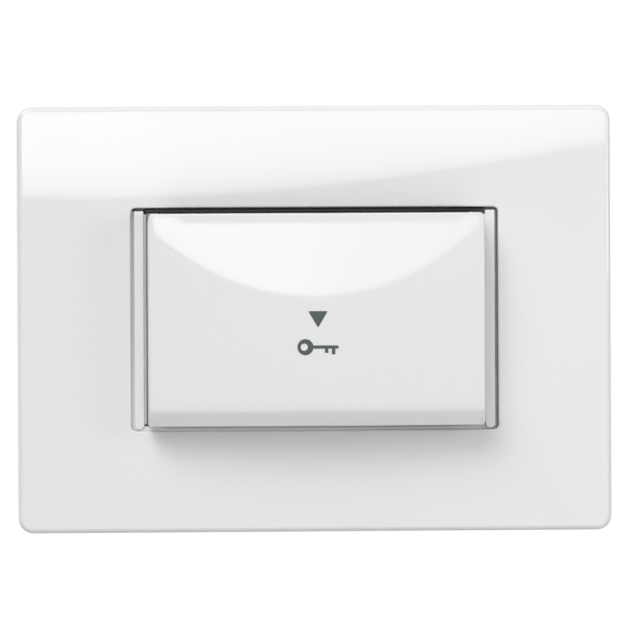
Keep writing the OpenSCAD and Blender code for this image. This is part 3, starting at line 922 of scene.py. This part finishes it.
# ---------------------------------------------------------------------------
# stage: camera, floor, light
# ---------------------------------------------------------------------------
def make_camera():
    data = bpy.data.cameras.new("camera")
    cam = bpy.data.objects.new("camera", data)
    scene.collection.objects.link(cam)
    az, el, dist = math.radians(-3.0), math.radians(0.5), 1.5
    target = Vector((0.00101, -0.009, -0.00025))
    back = Vector((math.sin(az) * math.cos(el), -math.cos(az) * math.cos(el), math.sin(el)))
    cam.location = target + back * dist
    cam.rotation_mode = "QUATERNION"
    turn = Quaternion((0, 0, 1), math.radians(-0.3))
    cam.rotation_quaternion = (-back).to_track_quat("-Z", "Y") @ turn
    data.sensor_width = 36.0
    data.lens = 36.0 * dist / 0.1293
    data.clip_start, data.clip_end = 0.05, 30.0
    scene.camera = cam


def make_floor():
    s, z = 1.0, -1.4
    me = bpy.data.meshes.new("floor")
    me.from_pydata([(-s, -s, z), (s, -s, z), (s, s, z), (-s, s, z)], [], [(0, 1, 2, 3)])
    ob = bpy.data.objects.new("floor", me)
    scene.collection.objects.link(ob)
    m, g, b, v = material("floor_paper")
    g.put(b, "Base Color", g.ramp(g.noise(v, 1 / 60.0, 3.0, 0.5),
                                  [(0.3, (0.83, 0.83, 0.83)), (0.7, (0.86, 0.86, 0.86))]))
    b.inputs["Roughness"].default_value = 0.85
    me.materials.append(m)


STRIP = (4.65, 4.65, 4.65)
ROOM = (0.02, 0.02, 0.02)
HIGH = (7.3, 7.3, 7.18)
OVER = (0.12, 0.12, 0.12)
BELOW = (0.54, 0.54, 0.545)
FRONT_FILL = (0.605, 0.605, 0.61)
BEHIND = (1.0, 1.0, 1.0)
LAMP = 0.47


def make_light():
    """A wide soft light in front and above, with weaker ones round it."""
    w = bpy.data.worlds.new("studio")
    scene.world = w
    w.use_nodes = True
    t = w.node_tree
    t.nodes.clear()
    g = Nodes(t)
    co = t.nodes.new("ShaderNodeTexCoord")
    sep = t.nodes.new("ShaderNodeSeparateXYZ")
    t.links.new(co.outputs["Generated"], sep.inputs[0])
    x, y, z = sep.outputs
    az = g.math("SUBTRACT", g.math("ARCTAN2", x, g.math("MULTIPLY", y, -1.0)), math.radians(1.0))
    el = g.math("ARCSINE", z)

    def lobe(a, b, c, power):
        k = math.sqrt(a * a + b * b + c * c)
        d = g.math("MULTIPLY_ADD", x, a / k, g.math("MULTIPLY_ADD", y, b / k, g.math("MULTIPLY", z, c / k)))
        return g.math("POWER", g.math("MAXIMUM", d, 0.0), power)

    def add(total, part, colour):
        n = t.nodes.new("ShaderNodeVectorMath")
        n.operation = "MULTIPLY_ADD"
        g.put(n, 0, part)
        g.put(n, 1, colour)
        g.put(n, 2, total)
        return n.outputs[0]

    # the front light's lower outline is an arc that is lowest near the middle
    off = g.math("SUBTRACT", az, 0.031)
    sq = g.math("MULTIPLY", off, off)
    low = g.math("MULTIPLY_ADD", sq, g.math("MULTIPLY_ADD", sq, 1.8, 1 / 1.02), 0.0119)
    above = g.math("SUBTRACT", el, low)
    lip = g.range(above, 0.0, 0.0006, 0.0, 0.36)
    fade = g.math("EXPONENT", g.math("MULTIPLY", g.math("MAXIMUM", above, 0.0), -1 / 0.0026))
    body = g.math("MULTIPLY_ADD", fade, -0.64, 0.64)
    wide = g.math("ABSOLUTE", off)
    rise = g.math("ADD", g.range(off, -0.19, -0.225, 0.0, 0.014), g.range(off, 0.212, 0.24, 0.0, 0.014))
    top = g.range(g.math("SUBTRACT", el, rise), 0.0803, 0.0833, 1.0, 0.0)
    side = g.math("MULTIPLY", g.range(wide, 0.42, 0.75, 1.0, 0.0),
                  g.math("MULTIPLY", g.range(az, -0.01, 0.09, 1.0, 0.76), g.range(az, 0.1, 0.3, 1.0, 0.75)))
    strip = g.math("MULTIPLY", g.math("MULTIPLY", g.math("ADD", lip, body), top), side)
    total = add(ROOM, strip, STRIP)
    total = add(total, lobe(-0.37, -0.61, 0.72, 20.0), HIGH)
    total = add(total, lobe(0.0, -0.1, 1.0, 3.0), OVER)
    total = add(total, lobe(0.0, -0.7, -0.7, 3.0), BELOW)
    total = add(total, lobe(0.0, -1.0, 0.30, 3.0), FRONT_FILL)
    # a white surround behind, a little brighter above and to the left
    glow = g.math("MULTIPLY_ADD", lobe(-0.4, 0.6, 0.7, 4.0), 1.1, 0.75)
    edge = g.math("MULTIPLY_ADD", g.math("MAXIMUM", x, 0.0), 0.45, y)
    glow = g.math("MULTIPLY", glow, g.range(z, -0.6, 0.1, 0.4, 1.0))
    glow = g.math("MULTIPLY", glow, g.range(z, 0.12, 0.6, 1.0, 0.45))
    total = add(total, g.math("MULTIPLY", glow, g.range(edge, 0.0, 0.2, 0.0, 1.0)), BEHIND)
    lit = t.nodes.new("ShaderNodeBackground")
    t.links.new(total, lit.inputs["Color"])
    lit.inputs["Strength"].default_value = 1.0
    seen = t.nodes.new("ShaderNodeBackground")
    seen.inputs["Color"].default_value = (1, 1, 1, 1)
    seen.inputs["Strength"].default_value = 1.0
    path = t.nodes.new("ShaderNodeLightPath")
    mix = t.nodes.new("ShaderNodeMixShader")
    t.links.new(path.outputs["Is Camera Ray"], mix.inputs[0])
    t.links.new(lit.outputs[0], mix.inputs[1])
    t.links.new(seen.outputs[0], mix.inputs[2])
    out = t.nodes.new("ShaderNodeOutputWorld")
    t.links.new(mix.outputs[0], out.inputs[0])
    scene.view_settings.view_transform = "Standard"
    scene.view_settings.look = "None"


def make_lamp():
    """A small fill lamp near the object's right."""
    data = bpy.data.lights.new("fill", "AREA")
    data.size, data.energy = 0.15, LAMP
    data.color = (0.94, 1.0, 1.0)
    ob = bpy.data.objects.new("fill", data)
    ob.location = (0.42, -0.30, 0.08)
    ob.rotation_mode = "QUATERNION"
    ob.rotation_quaternion = (Vector((0, -0.01, 0)) - ob.location).to_track_quat("-Z", "Y")
    scene.collection.objects.link(ob)


make_camera()
make_floor()
make_light()
make_lamp()
